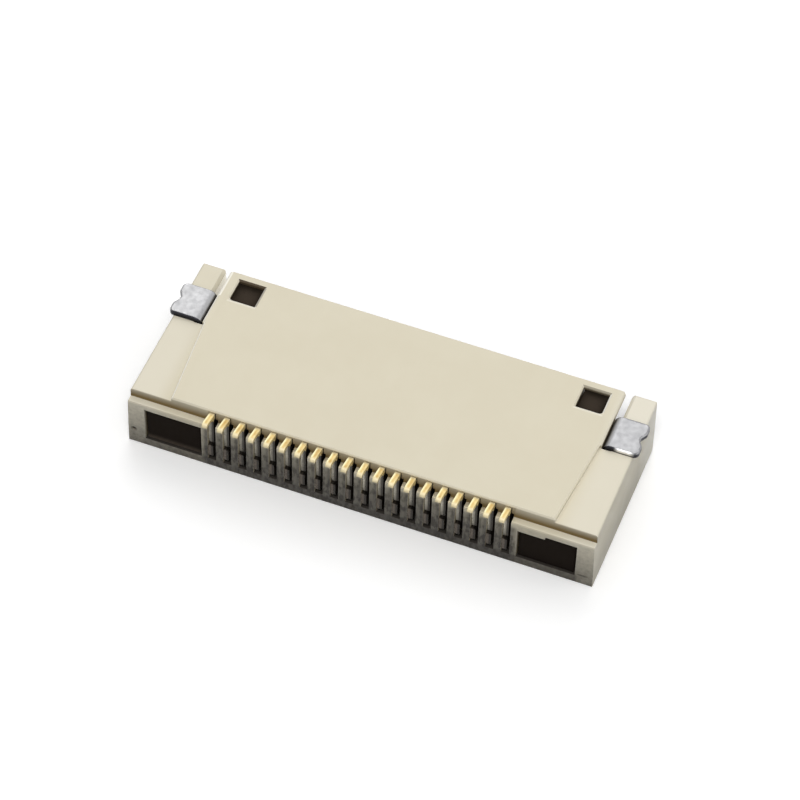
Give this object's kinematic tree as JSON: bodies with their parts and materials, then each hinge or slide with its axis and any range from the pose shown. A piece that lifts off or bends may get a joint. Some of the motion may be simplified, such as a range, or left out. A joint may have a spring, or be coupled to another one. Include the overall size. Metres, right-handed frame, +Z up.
{
  "type": "fpc connector",
  "caption": "Right-angle connector for a flat flexible circuit: moulded housing, sliding lock, forked contacts with solder tails and two folded solder nails.",
  "frame": {"origin": "on the resting face, which is the connector's real top, halfway across its width and halfway between the tail-side face and the ends of the side rails", "axes": "+Z up towards the soldering side, as the connector lies in the picture with its solder side up; +X along the contact row; +Y towards the mouth that takes the flexible circuit"},
  "size_m": [0.0152, 0.0067, 0.0024],
  "materials": {
    "housing": "moulded, fine satin, pale beige",
    "slider": "moulded, satin, dark brown",
    "contact": "gold flash over nickel on the tail, bare sheared edge on the body",
    "nail": "matte tin plate"
  },
  "bodies": {
    "connector": {"housing": "housing", "contact_01": "contact", "contact_02": "contact", "contact_03": "contact", "contact_04": "contact", "contact_05": "contact", "contact_06": "contact", "contact_07": "contact", "contact_08": "contact", "contact_09": "contact", "contact_10": "contact", "contact_11": "contact", "contact_12": "contact", "contact_13": "contact", "contact_14": "contact", "contact_15": "contact", "contact_16": "contact", "contact_17": "contact", "contact_18": "contact", "contact_19": "contact", "contact_20": "contact", "solder_nail_left": "nail", "solder_nail_right": "nail"},
    "drawer": {"slider": "slider"}
  },
  "joints": [
    {"name": "slider_pull", "type": "slide", "parent": "connector", "child": "drawer", "axis": [0, 1, 0], "range_m": [0, 0.0012]}
  ]
}
